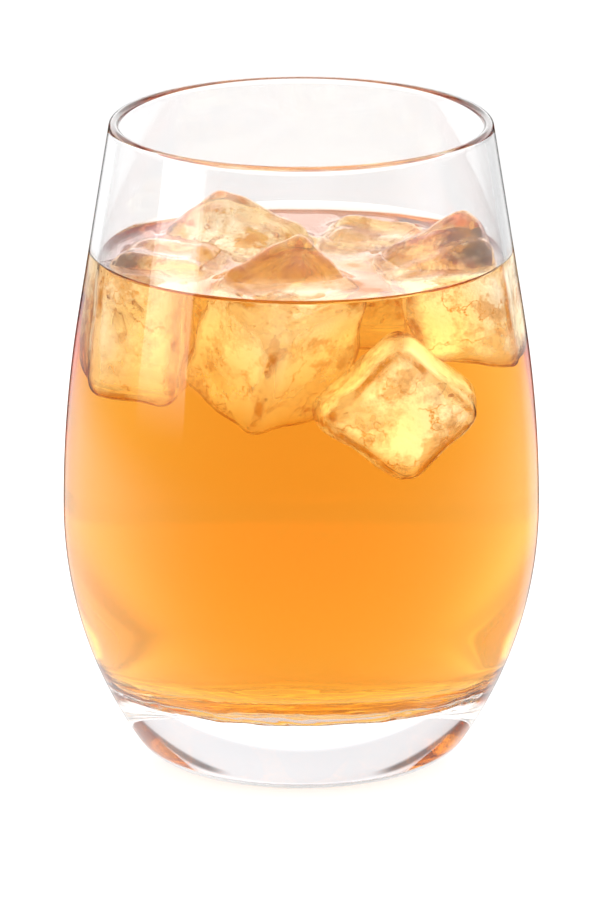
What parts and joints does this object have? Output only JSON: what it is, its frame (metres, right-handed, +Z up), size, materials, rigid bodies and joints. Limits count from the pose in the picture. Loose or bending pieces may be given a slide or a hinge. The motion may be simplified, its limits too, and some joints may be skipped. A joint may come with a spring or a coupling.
{
  "type": "glass of iced tea",
  "caption": "Stemless clear tumbler of amber iced tea with ice cubes standing out of the drink.",
  "frame": {"origin": "middle of the foot, on the surface that the glass stands on", "axes": "+Z up through the mouth of the glass, -Y towards the viewer of the picture"},
  "size_m": [0.088, 0.088, 0.121],
  "materials": {
    "clear_glass": "clear, smooth, melted rim",
    "amber_tea": "clear amber liquid with a still surface",
    "clear_ice": "wet clear ice with cloudy patches and fine cracks"
  },
  "bodies": {
    "root": {"glass": "clear_glass", "tea": "amber_tea", "ice_back": "clear_ice", "ice_back_left": "clear_ice", "ice_front": "clear_ice", "ice_left": "clear_ice", "ice_right": "clear_ice"}
  },
  "joints": []
}
